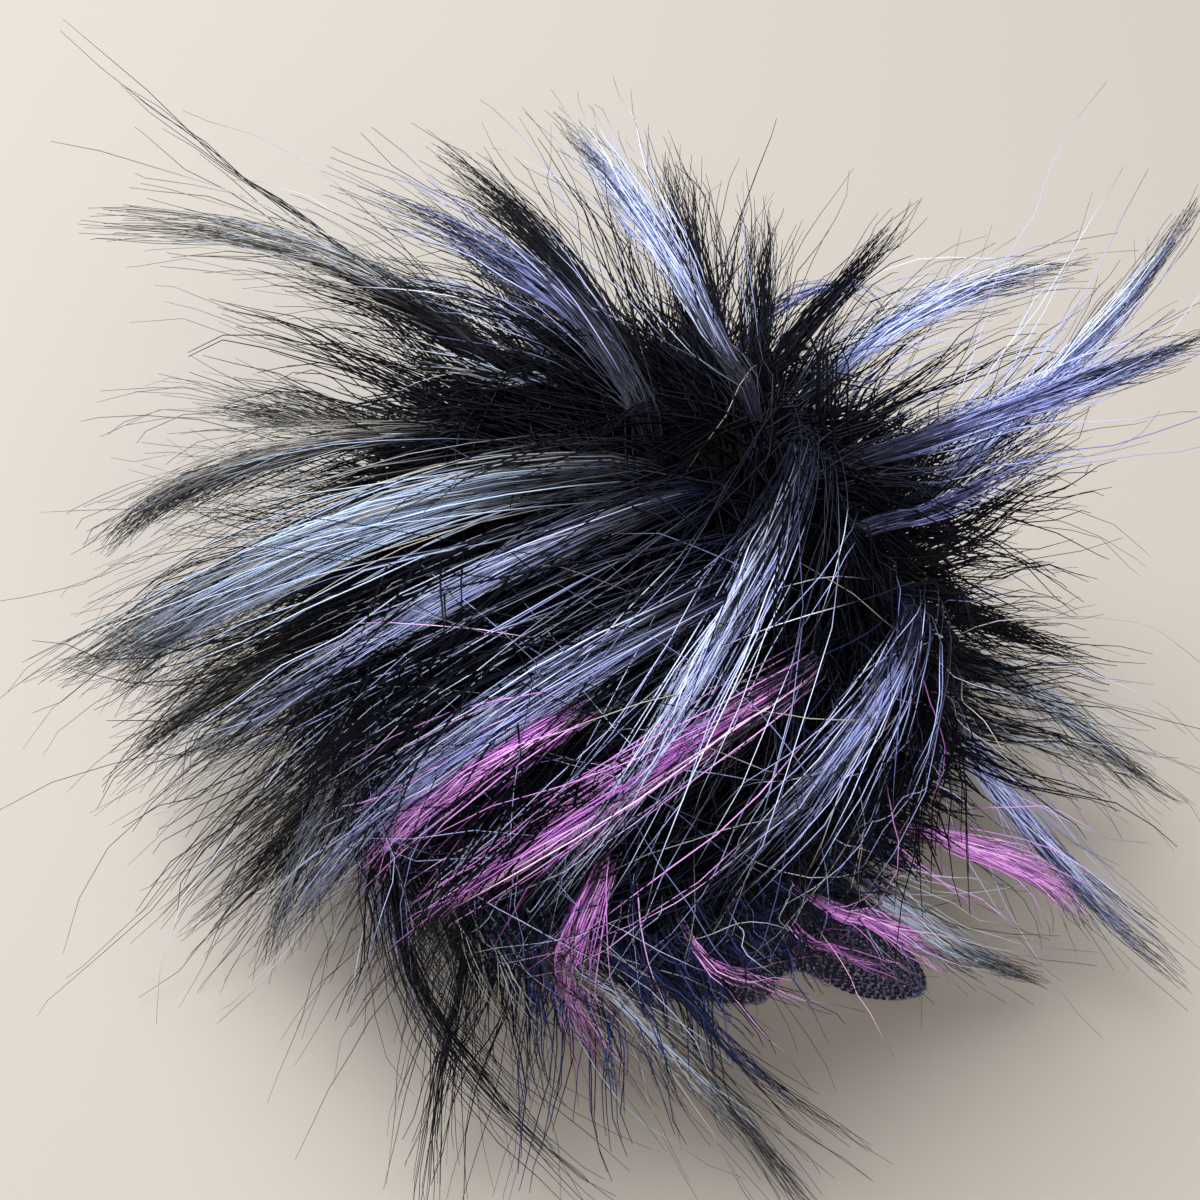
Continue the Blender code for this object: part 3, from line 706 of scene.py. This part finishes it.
def strands_tree():
    tree, given = new_tree("strands_along_guides", TREE_INPUTS, "Strands")
    add, number, vector = (partial(form, tree) for form in (add_node, maths, vectors))

    def stored(name, kind="FLOAT"):
        return add("GeometryNodeInputNamedAttribute", {"Name": name}, data_type=kind)

    def chance(draw, low, high):
        """A random vector for each strand, the same all along it. Every draw is another one."""
        span = {"Min": (low,) * 3, "Max": (high,) * 3}
        which = {"ID": add("GeometryNodeInputIndex"), "Seed": number("ADD", given["Seed"], draw)}
        drawn = add("FunctionNodeRandomValue", span | which, data_type="FLOAT_VECTOR")
        return add("GeometryNodeFieldOnDomain", {"Value": drawn}, domain="CURVE", data_type="FLOAT_VECTOR")

    def bell(draw):
        return vector("DOT_PRODUCT", chance(draw, -1, 1), (BELL,) * 3)

    # One curve for each strand, cut to its own length.
    guides = add("GeometryNodeMeshToCurve", {"Mesh": given["Guides"]})
    copies = {"Geometry": guides, "Amount": stored("hairs", "INT")}
    copies = add("GeometryNodeDuplicateElements", copies, domain="SPLINE")
    drawn = add("ShaderNodeSeparateXYZ", {"Vector": chance(1, 0, 1)}).node.outputs
    ends = {"Value": drawn["X"], "To Min": given["Shortest"], "To Max": given["Longest"]}
    curves = add("GeometryNodeTrimCurve", {"Curve": copies, "End": add("ShaderNodeMapRange", ends)})

    # Off its guide: across, outwards, astray towards the tip, and frizzed.
    own = add("GeometryNodeSplineParameter", gives="Factor")
    along = stored("along")
    place = add("GeometryNodeInputPosition")
    across = number("MULTIPLY", stored("spread"), bell(2))
    across = vector("SCALE", stored("side", "FLOAT_VECTOR"), across)
    outwards = number("MULTIPLY", stored("depth"), bell(3))
    outwards = vector("SCALE", stored("out", "FLOAT_VECTOR"), outwards)
    bent = number("MULTIPLY", number("POWER", along, LATE_STRAY), given["Stray"])
    bent = number("MULTIPLY", bent, number("POWER", drawn["Z"], FEW_STRAY))
    astray = vector("SCALE", chance(4, -1, 1), bent)
    noise = {"Vector": vector("ADD", chance(5, 0, 1), place), "Scale": given["Frizz Size"], "Detail": 1.0}
    noise = vector("SUBTRACT", add("ShaderNodeTexNoise", noise, "Color"), (0.5,) * 3)
    curly = number("MULTIPLY", number("POWER", along, LATE_FRIZZ), given["Frizz"])
    moved = place
    for offset in (across, outwards, astray, vector("SCALE", noise, curly)):
        moved = vector("ADD", moved, offset)
    floor = number("MULTIPLY_ADD", drawn["Y"], MM, LOWEST_STRAND)
    floor = add("ShaderNodeCombineXYZ", {"X": -1.0, "Y": -1.0, "Z": floor})
    moved = {"Geometry": curves, "Position": vector("MAXIMUM", moved, floor)}
    curves = add("GeometryNodeSetPosition", moved)

    # What the UV map needs, kept on the curves and on the profile.
    tint = number("MULTIPLY_ADD", bell(6), TINT_SPREAD, stored("tint"))
    dark = number("POWER", add("ShaderNodeSeparateXYZ", {"Vector": chance(7, 0, 1)}), FEW_DARK)
    tint = number("MULTIPLY_ADD", dark, -DARKER, tint)
    tint = add("ShaderNodeClamp", {"Value": tint, "Max": 0.999})
    band = number("FLOOR", number("MULTIPLY", tint, TINTS))
    for name, value in (("own", own), ("band", band)):
        kept = {"Geometry": curves, "Name": name, "Value": value}
        curves = add("GeometryNodeStoreNamedAttribute", kept)
    sides = add("GeometryNodeCurvePrimitiveCircle", {"Resolution": 3, "Radius": 1.0})
    share = number("DIVIDE", add("GeometryNodeInputIndex"), 2.0)
    sides = add("GeometryNodeStoreNamedAttribute", {"Geometry": sides, "Name": "round", "Value": share})

    # The strands' skin.
    taper = number("MULTIPLY_ADD", number("POWER", own, LATE_TAPER), -FIBRE_TAPER, 1.0)
    scale = number("MULTIPLY", taper, number("MULTIPLY", given["Thickness"], 0.5))
    skin = {"Curve": curves, "Profile Curve": sides, "Scale": scale, "Fill Caps": True}
    skin = add("GeometryNodeCurveToMesh", skin)
    in_band = number("MULTIPLY_ADD", stored("round"), 0.7, 0.15)
    v = number("DIVIDE", number("ADD", stored("band"), in_band), TINTS)
    # The dye begins at DYE_FROM on the UV map, wherever it begins on the strand.
    bare_part = {"Value": stored("own"), "From Max": stored("bare"), "To Min": 0.01, "To Max": DYE_FROM}
    dyed_part = {"Value": stored("own"), "From Min": stored("bare"), "To Max": 0.99 - DYE_FROM}
    u = number("ADD", add("ShaderNodeMapRange", bare_part), add("ShaderNodeMapRange", dyed_part))
    uv = {"Geometry": skin, "Name": "OFBake", "Value": add("ShaderNodeCombineXYZ", {"X": u, "Y": v})}
    skin = add("GeometryNodeStoreNamedAttribute", uv, data_type="FLOAT2", domain="CORNER")
    skin = add("GeometryNodeSetShadeSmooth", {"Geometry": skin})
    skin = add("GeometryNodeRealizeInstances", {"Geometry": skin})
    skin = add("GeometryNodeSetMaterial", {"Geometry": skin, "Material": given["Fibre"]})
    tree.links.new(skin, tree.nodes.new("NodeGroupOutput").inputs["Strands"])
    return tree


STRANDS = strands_tree()
print("the strands' tree has", len(STRANDS.nodes), "nodes")

# %% [markdown]
# ## Growing a piece of pile
#
# The guides become a mesh of loose edges, with their facts as attributes on its points. The tree runs
# on it as a modifier, and the result is copied to a plain mesh, so the piece keeps no modifier.

# %% Grow
SPARE = ("along", "side", "out", "spread", "depth", "hairs", "tint", "bare", "own", "band", "round")
ROOT_DENSE = 1.4  # over 1, a strand's points stand closer together at its root, where it bends most
FRIZZ_SIZE = 90.0  # waves of frizz in a metre


def thinned(values, points):
    """Values at the guides' steps, read at fewer places, which stand closest together at the root."""
    at = np.linspace(0, 1, points) ** ROOT_DENSE * (STEPS - 1)
    low = np.minimum(at.astype(int), STEPS - 2)
    share = (at - low).reshape((-1,) + (1,) * (values.ndim - 2))
    return values[:, low] * (1 - share) + values[:, low + 1] * share


def guide_mesh(name, guides, points):
    count = len(guides["hairs"])
    mesh = bpy.data.meshes.new(name)
    mesh.vertices.add(count * points)
    mesh.vertices.foreach_set("co", (thinned(guides["points"], points) * MM).ravel())
    first = (np.arange(count)[:, None] * points + np.arange(points - 1)).ravel()
    mesh.edges.add(len(first))
    mesh.edges.foreach_set("vertices", np.stack([first, first + 1], -1).ravel())
    facts = {"along": np.tile(np.linspace(0, 1, points) ** ROOT_DENSE, count)}
    facts |= {fact: thinned(guides[fact], points) for fact in ("side", "out")}
    facts |= {fact: thinned(guides[fact], points) * MM for fact in ("spread", "depth")}
    facts |= {fact: np.repeat(guides[fact], points) for fact in ("hairs", "tint", "bare")}
    for fact, values in facts.items():
        kind, field = ("FLOAT_VECTOR", "vector") if values.ndim > 2 else ("FLOAT", "value")
        kind = "INT" if fact == "hairs" else kind
        mesh.attributes.new(fact, kind, "POINT").data.foreach_set(field, np.ravel(values))
    return mesh


def grow(name, guides, fibre, seed, points=15, thickness=0.14, ends=(0.62, 1.0), stray=9, frizz=4.0):
    """Strands along guides as one plain mesh object. Sizes are in millimetres."""
    made = put(name, guide_mesh(name, guides, points))
    values = {"Thickness": thickness * MM, "Stray": stray * MM, "Frizz": frizz * MM}
    values |= {"Shortest": ends[0], "Longest": ends[1], "Frizz Size": FRIZZ_SIZE}
    mesh = run_tree(made, STRANDS, values | {"Seed": seed, "Fibre": fibre})
    for spare in SPARE:
        if spare in mesh.attributes:
            mesh.attributes.remove(mesh.attributes[spare])
    mesh.calc_loop_triangles()
    print(name, "has", guides["hairs"].sum(), "strands and", len(mesh.loop_triangles), "triangles")
    return made


SILVER_FROM, SILVER_TO, SILVER_TOP = 145, 245, 0.8  # the silver pile's place: degrees, and a height
PALER = 0.55  # how much paler than the black its tint is
CROWN_FROM = 42  # degrees: over this the underfur stands more closely
grown = []
turn = angles_of(scalp)[0] % 360
left = (turn > SILVER_FROM) & (turn < SILVER_TO) & (scalp[:, 2] < SILVER_TOP)
left &= rng.random(len(scalp)) < SILVER_SHARE
silver_pile = pick(pile, left)
silver_pile["tint"] = silver_pile["tint"] + PALER
grown.append(grow("silver_pile", silver_pile, GREY, 44, points=11, thickness=0.13, ends=(0.5, 1), stray=12))
scalp, pile = scalp[~left], pick(pile, ~left)
quarter = np.floor((angles_of(scalp)[0] + 45) / 90).astype(int) % 4
for i, where in enumerate(("right", "back", "left", "front")):
    guides = pick(pile, quarter == i)
    name = "black_pile_" + where
    grown.append(grow(name, guides, BLACK, 40 + i, points=12, thickness=0.18, ends=(0.5, 1)))
short = sunflower(2000, -50.0)
underfur = grow_tufts(short, rng, 2, clear=0.2, length=0.5, lift=0.3, wild=20)
crown = short[angles_of(short)[1] > CROWN_FROM]
crown = grow_tufts(crown, rng, 4, clear=0.1, length=0.4, lift=0.35, wild=50)
underfur = joined(underfur, crown)
grown.append(grow("underfur", underfur, BLACK, 50, points=5, thickness=0.3, stray=2, frizz=1))
grown.append(grow("black_fringe", fringe, BLACK, 51, points=12, thickness=0.09, stray=14, frizz=3))
for i, colour in enumerate(lock_guides):
    grown.append(grow(colour + "_locks", lock_guides[colour], FIBRES[colour], 60 + i))
    name, loose = colour + "_flyaways", loose_guides[colour]
    grown.append(grow(name, loose, FIBRES[colour], 70 + i, points=14, thickness=0.1, ends=(0.6, 1)))

# %% [markdown]
# ## The knitted backing's finish
#
# The backing is a fine plain knit. Its face is columns of small V shapes, one for each stitch. The
# pattern follows the cloth and not the space round it, so it reads a UV map that holds each point's
# place on the flat cloth, 200 mm across. Two folded waves make the V: a saw across a column bends the
# courses, and painted shade darkens the low lines between the columns and between the stitches. A
# stitch is a little under 1 mm wide.

# %% Knit material
CLOTH = 200.0  # mm of flat cloth across the whole UV map
STITCH_WIDE, STITCH_HIGH = 0.95, 0.75
V_SLANT = 1.1


def knit(name, gap_shade, face, fuzz, sheen):
    """Plain knit, from painted shade between the stitches to the yarn's own colour, with a fuzz of fibre
    ends. The shade follows the stitches' height.
    """
    finish = {"Roughness": 0.85, "Specular IOR Level": 0.1, "Sheen Weight": sheen, "Sheen Roughness": 0.5}
    material, tree, shader = new_finish(name, finish)
    add, number = partial(add_node, tree), partial(maths, tree)
    uv = add("ShaderNodeUVMap", uv_map="OFBake")
    split = add("ShaderNodeSeparateXYZ", {"Vector": uv}).node.outputs
    column = number("FRACT", number("MULTIPLY", split["X"], CLOTH / STITCH_WIDE))
    off = number("ABSOLUTE", number("SUBTRACT", column, 0.5))
    course = number("MULTIPLY", split["Y"], CLOTH / STITCH_HIGH)
    course = number("MULTIPLY_ADD", off, V_SLANT, course)
    yarn = number("SINE", number("MULTIPLY", number("FRACT", course), math.pi))
    leg = number("SINE", number("MULTIPLY", off, 2 * math.pi))
    raised = number("MULTIPLY", number("POWER", yarn, 0.7), number("POWER", leg, 0.5))
    place = add("ShaderNodeTexCoord", gives="Object")
    fine = add("ShaderNodeTexNoise", {"Vector": place, "Scale": 2600.0, "Detail": 3.0}, "Fac")
    cloud = add("ShaderNodeTexNoise", {"Vector": place, "Scale": 90.0, "Detail": 2.0}, "Fac")
    # Painted shade: the lower the yarn, the darker it is painted, and a cloud of tone varies it at random.
    stitch_shade_and_tone = number("MULTIPLY", raised, number("MULTIPLY_ADD", cloud, 0.7, 0.6))
    shade = mixed(tree, stitch_shade_and_tone, linear(gap_shade), linear(face))
    ends = add("ShaderNodeMapRange", {"Value": fine, "From Min": 0.58, "From Max": 0.72})
    tree.links.new(mixed(tree, ends, shade, linear(fuzz)), shader.inputs["Base Color"])
    height = number("MULTIPLY_ADD", fine, 0.25, raised)
    bump = add("ShaderNodeBump", {"Strength": 0.9, "Distance": 0.25 * MM, "Height": height})
    tree.links.new(bump, shader.inputs["Normal"])
    return material


# The ball's side of the cloth is the edge's navy knit painted much darker: painted shade for the
# dark under the pile. The edge keeps the knit's own navy in the light.
SHADED_BACKING = knit("navy_knitted_backing", "010103", "05060D", "0A0C18", 0.0)
EDGE_KNIT = knit("navy_knitted_edge", "0A0C1C", "4A4C74", "9A94B8", 0.2)
print("knit finishes:", SHADED_BACKING.name, "and", EDGE_KNIT.name)

# %% [markdown]
# ## The stuffed ball
#
# Under the pile, a round of knitted cloth is drawn up round the stuffing by a thread near its edge. The
# cloth is smooth on top and falls into pleats underneath, where there is more of it than the ball needs.
# The ball is built ring by ring from the crown down, so each point knows how far it lies from the middle
# of the flat cloth: that distance is its place on the UV map. The pleats grow towards the gathered
# bottom, and the bottom is pressed flat by the table.

# %% Stuffed ball
STUFFED_RADIUS = 28.9
RINGS, SEGMENTS = 72, 180
PLEATS = 21
PLEAT_DEPTH = 0.9
PLEATS_FROM = 105.0  # degrees down from the crown
BALL_REST = 0.2  # the flat spot's height above the table
NECK = 1.6  # how far the gathered cloth stands out at the bottom


def solid_mesh(name, points, faces, uvs, material):
    """A smooth mesh object from points in millimetres. uvs has a pair for every corner of every face."""
    mesh = bpy.data.meshes.new(name)
    mesh.from_pydata((np.array(points) * MM).tolist(), [], faces)
    layer = mesh.uv_layers.new(name="OFBake")
    layer.data.foreach_set("uv", np.array(uvs, dtype=float).ravel())
    mesh.shade_smooth()
    mesh.materials.append(material)
    mesh.validate()
    return put(name, mesh)


def ball_point(ring, segment):
    down = math.pi * ring / RINGS
    turn = 2 * math.pi * segment / SEGMENTS
    gathered = max(0.0, math.degrees(down) - PLEATS_FROM) / (180 - PLEATS_FROM)
    wander = 0.35 * math.sin(3 * turn + 1.0) + 0.25 * math.sin(5 * turn)
    pleat = PLEAT_DEPTH * gathered * math.cos(PLEATS * (turn + 0.2 * wander)) * min(1.0, 6 * math.sin(down))
    radius = STUFFED_RADIUS + pleat + NECK * gathered**4
    flat = np.array((math.cos(turn), math.sin(turn), 0.0)) * math.sin(down)
    point = CENTRE + radius * (flat + np.array((0.0, 0.0, math.cos(down))))
    point[2] = max(point[2], BALL_REST)
    return point


def cloth_place(ring, segment):
    far = math.pi * ring / RINGS * STUFFED_RADIUS / CLOTH
    turn = 2 * math.pi * segment / SEGMENTS
    return (0.5 + far * math.cos(turn), 0.5 + far * math.sin(turn))


all_round = [(ring, segment) for ring in range(1, RINGS) for segment in range(SEGMENTS)]
ball_points = [ball_point(*place) for place in [(0, 0), *all_round, (RINGS, 0)]]


def ball_index(ring, segment):
    if ring == 0:
        return 0
    if ring == RINGS:
        return len(ball_points) - 1
    return 1 + (ring - 1) * SEGMENTS + segment % SEGMENTS


ball_faces, ball_uvs = [], []
for ring in range(RINGS):
    for segment in range(SEGMENTS):
        corners = [(ring, segment), (ring + 1, segment), (ring + 1, segment + 1), (ring, segment + 1)]
        if ring == 0:
            corners.pop()
        if ring == RINGS - 1:
            corners.pop(1)
        ball_faces.append([ball_index(*corner) for corner in corners])
        ball_uvs += [cloth_place(*corner) for corner in corners]
ball = solid_mesh("stuffed_ball", ball_points, ball_faces, ball_uvs, SHADED_BACKING)
print("the stuffed ball has", len(ball_faces), "faces and rests", BALL_REST, "mm above the table")

# %% [markdown]
# ## The gathered edge
#
# Outside the gathering thread, the cloth's edge stays flat. Under the front right a lobe of it comes out
# from under the pile, ruffled, with its knit showing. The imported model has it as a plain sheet. This one
# lies on the same curve, with more points, a thinner cloth and a rounded rim.

# %% Gathered edge
EDGE_FROM, EDGE_TO = -72.0, -4.0  # degrees round the ball
EDGE_INNER, EDGE_REACH = 17.5, 28.0
EDGE_LOBES = ((-31.0, 16.0, 10.0), (-54.0, 4.0, 8.0))  # middle, extra reach, half width in degrees
EDGE_MIDDLE = 0.6  # the sheet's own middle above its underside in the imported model
EDGE_THICKNESS = 0.8
EDGE_LIFT, EDGE_ARCH = 1.5, 1.6
EDGE_RUFFLES, EDGE_RUFFLE_HEIGHT = 5.5, 1.1
EDGE_STEPS, EDGE_BANDS = 150, 30
RIM = 0.6  # mm of the flat cloth that one face of the rim takes on the UV map
EDGE_ON_MAP = 0.2  # where the edge's own part of the UV map begins


def edge_point(across, outward):
    """A point of the edge's middle surface, from its shares of the way round and of the way out."""
    angle = EDGE_FROM + (EDGE_TO - EDGE_FROM) * across
    lobes = sum(extra * math.exp(-(((angle - mid) / half) ** 2)) for mid, extra, half in EDGE_LOBES)
    reach = EDGE_INNER + (EDGE_REACH + lobes - EDGE_INNER) * outward
    ruffle = EDGE_RUFFLE_HEIGHT * outward * math.sin(2 * math.pi * EDGE_RUFFLES * across)
    height = max(0.0, EDGE_LIFT + EDGE_ARCH * math.sin(math.pi * outward) + ruffle) + EDGE_MIDDLE
    turn = math.radians(angle)
    return np.array((reach * math.cos(turn), reach * math.sin(turn), height))


def run_along(line):
    """How far each point of a line lies from its first."""
    return np.concatenate([[0.0], np.cumsum(np.linalg.norm(np.diff(line, axis=0), axis=-1))])


round_shares, out_shares = np.arange(EDGE_STEPS + 1) / EDGE_STEPS, np.arange(EDGE_BANDS + 1) / EDGE_BANDS
edge_grid = np.array([[edge_point(i, j) for j in out_shares] for i in round_shares])
round_way, out_way = np.gradient(edge_grid, axis=(0, 1))
edge_up = unit(np.cross(out_way, round_way))
edge_up *= np.sign(edge_up[..., 2:])
out_length = max(run_along(line)[-1] for line in edge_grid)


def edge_sheet():
    """Both faces of the cloth and a rounded rim, as one loop of points for each step round."""
    thin = EDGE_THICKNESS / 2
    loops, places = [], []
    round_at = run_along(edge_grid[:, -1])
    for i in range(EDGE_STEPS + 1):
        line, up, ends = edge_grid[i], edge_up[i], unit(out_way[i])
        over, under = line + up * thin, line - up * thin
        loops.append([*over, line[-1] + ends[-1] * thin, *under[::-1], line[0] - ends[0] * thin])
        out_at = run_along(line)
        rim = out_at[-1] + RIM
        along = [*out_at, rim, *(rim + RIM + out_at[-1] - out_at[::-1])]
        along.append(along[-1] + RIM)
        places.append([(EDGE_ON_MAP + round_at[i] / CLOTH, EDGE_ON_MAP + v / CLOTH) for v in along])
    size = len(loops[0])
    faces, uvs = [], []
    for i in range(EDGE_STEPS):
        for j in range(size):
            k = (j + 1) % size
            faces.append([i * size + j, (i + 1) * size + j, (i + 1) * size + k, i * size + k])
            corners = [list(places[i][j]), list(places[i + 1][j]), list(places[i + 1][k]), list(places[i][k])]
            if k == 0:
                corners[2][1] = corners[3][1] = places[i][-1][1] + RIM / CLOTH
            uvs += corners
    # The two ends of the lobe are closed by strips from face to face and a corner at each rim.
    for i, turned in ((0, True), (EDGE_STEPS, False)):
        for j in range(EDGE_BANDS):
            strip = [j, j + 1, 2 * EDGE_BANDS + 1 - j, 2 * EDGE_BANDS + 2 - j]
            ring = ((0, j), (0, j + 1), (1, j + 1), (1, j))
            corners = [(0.05 + 0.004 * s, 0.9 * places[i][c][1]) for s, c in ring]
            if not turned:
                strip, corners = strip[::-1], corners[::-1]
            faces.append([i * size + n for n in strip])
            uvs += corners
        tips = ([EDGE_BANDS, EDGE_BANDS + 1, EDGE_BANDS + 2], [0, 2 * EDGE_BANDS + 2, 2 * EDGE_BANDS + 3])
        for tip in tips:
            order = tip if turned else tip[::-1]
            faces.append([i * size + n for n in order])
            uvs += [(0.04, 0.2), (0.044, 0.2), (0.042, 0.204)]
    return solid_mesh("backing_edge", [point for loop in loops for point in loop], faces, uvs, EDGE_KNIT)


edge = edge_sheet()
work = bmesh.new()
work.from_mesh(edge.data)
bmesh.ops.recalc_face_normals(work, faces=work.faces)
print("the edge is closed:", all(e.is_manifold for e in work.edges), "volume", work.calc_volume(signed=True))
work.to_mesh(edge.data)
work.free()

# %% [markdown]
# ## Real stitches on the edge
#
# Near the rim the stitches show from the side too, so paint and bump are not enough. Each stitch is two
# slanting beads of yarn. Geometry Nodes build the pair once and set it on every place where a stitch
# lies, turned to the cloth there, and the rim is scalloped by them.

# %% Stitches
BEAD = (0.40, 0.17, 0.14)  # half sizes of one leg of a stitch
LEG_TURN = math.radians(52)
LEG_APART = 0.42  # each leg's way off the stitch's middle, over the leg's half length
STITCHED = 0.5  # the share of the edge, from its rim, that has real stitches
RIM_ROW = 0.3  # mm from the rim to the first course
LINE_STEPS = 400  # steps in which a course is measured


def stitches_tree():
    inputs = {"Places": "Geometry", "Size": "Vector", "Yarn": "Material"}
    tree, given = new_tree("knit_stitches", inputs, "Stitches")
    add, vector = partial(add_node, tree), partial(vectors, tree)
    bead = add("GeometryNodeMeshUVSphere", {"Segments": 6, "Rings": 4, "Radius": 1.0})
    leg = add("GeometryNodeTransform", {"Geometry": bead, "Scale": given["Size"]})
    apart = vector("MULTIPLY", given["Size"], (LEG_APART, 0.0, 0.0))
    both = tree.nodes.new("GeometryNodeJoinGeometry")
    for way in (-1, 1):
        turned = add("GeometryNodeTransform", {"Geometry": leg, "Rotation": (0.0, 0.0, way * LEG_TURN)})
        shift = vector("SCALE", apart, -1.0 * way)
        turned = add("GeometryNodeTransform", {"Geometry": turned, "Translation": shift})
        tree.links.new(turned, both.inputs["Geometry"])
    axes = {"Primary Axis": "up", "Secondary Axis": "out"}
    for axis, fact in axes.items():
        axes[axis] = add("GeometryNodeInputNamedAttribute", {"Name": fact}, data_type="FLOAT_VECTOR")
    turn = add("FunctionNodeAxesToRotation", axes, primary_axis="Z", secondary_axis="Y")
    made = {"Points": given["Places"], "Instance": both.outputs["Geometry"], "Rotation": turn}
    made = add("GeometryNodeInstanceOnPoints", made)
    made = add("GeometryNodeRealizeInstances", {"Geometry": made})
    made = add("GeometryNodeSetShadeSmooth", {"Geometry": made})
    made = add("GeometryNodeSetMaterial", {"Geometry": made, "Material": given["Yarn"]})
    tree.links.new(made, tree.nodes.new("NodeGroupOutput").inputs["Stitches"])
    return tree


def stitch_places():
    """Where stitches lie: courses go out from the inner side, columns stand side by side round it."""
    places = []
    steps = np.arange(LINE_STEPS + 1) / LINE_STEPS
    for share in 1 - np.arange(RIM_ROW, out_length * STITCHED, STITCH_HIGH) / out_length:
        at = run_along(np.array([edge_point(step, share) for step in steps]))
        count = int(at[-1] / STITCH_WIDE)
        for n in range(count):
            across = np.interp((n + 0.5) / count * at[-1], at, steps)
            here = edge_point(across, share)
            out = unit(edge_point(across, share + 0.01) - here)
            aside = unit(edge_point(across + 0.001, share) - here)
            up = unit(np.cross(aside, out))
            up = up if up[2] > 0 else -up
            places.append((here + up * (EDGE_THICKNESS / 2), up, out))
    return places


places = stitch_places()
stitch_mesh = bpy.data.meshes.new("edge_stitches")
stitch_mesh.from_pydata([tuple(p[0] * MM) for p in places], [], [])
for fact, column in (("up", 1), ("out", 2)):
    values = np.array([p[column] for p in places]).ravel()
    stitch_mesh.attributes.new(fact, "FLOAT_VECTOR", "POINT").data.foreach_set("vector", values)
stitches = put("edge_stitches", stitch_mesh)
run_tree(stitches, stitches_tree(), {"Size": [half * MM for half in BEAD], "Yarn": EDGE_KNIT})
print(len(places), "stitches with", len(stitches.data.polygons), "faces")

# %% [markdown]
# ## Floor and light
#
# A matt floor and soft studio light. The large light stands for a window behind the left, so the locks
# shine along their tops. A weak one fills the front. The world lifts the shadows.

# %% Stage
WORLD_LIGHT = 0.34
FLOOR_HALF = 2  # metres from the middle of the floor to its sides


def area_light(name, place, size, power, colour):
    """A round light at a place, aimed at the pom pom. Sizes are in metres."""
    data = bpy.data.lights.new(name, "AREA")
    data.shape = "DISK"
    data.size = size
    data.energy = power
    data.color = linear(colour)[:3]
    made = put(name, data)
    made.location = place
    made.rotation_euler = (Vector(place) * -1).to_track_quat("-Z", "Y").to_euler()


area_light("window", (-0.6, 0.5, 1.2), 1.3, 50.0, "FFFFFF")
area_light("front_fill", (0.45, -0.75, 0.75), 0.7, 10.0, "FFF6EC")
bpy.context.scene.view_settings.view_transform = "Standard"
world = bpy.data.worlds.new("studio")
bpy.context.scene.world = world
world.use_nodes = True
world.node_tree.nodes["Background"].inputs["Color"].default_value = linear("FFFFFF")
world.node_tree.nodes["Background"].inputs["Strength"].default_value = WORLD_LIGHT

floor_mesh = bpy.data.meshes.new("floor")
floor_corners = [(x * FLOOR_HALF, y * FLOOR_HALF, 0) for x, y in ((-1, -1), (1, -1), (1, 1), (-1, 1))]
floor_mesh.from_pydata(floor_corners, [], [(0, 1, 2, 3)])
floor_object = put("floor", floor_mesh)
floor_finish, _, _ = new_finish("matt_floor", {"Base Color": linear("8F8A84"), "Roughness": 0.7})
floor_mesh.materials.append(floor_finish)
print("the floor is", 2 * FLOOR_HALF, "m wide")

# %% [markdown]
# ## What each piece is
#
# The frame needs to know how every piece is held. All of them ride on the one rigid body. The stuffed
# ball takes the place of the imported fur ball, and the gathered edge that of the imported lobe.

# %% Declare
for piece in grown + [ball, edge, stitches]:
    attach(piece, "root")
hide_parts("fur_ball")
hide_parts("gathered_edge")
for piece in grown:
    colour = piece.name.split("_")[0]
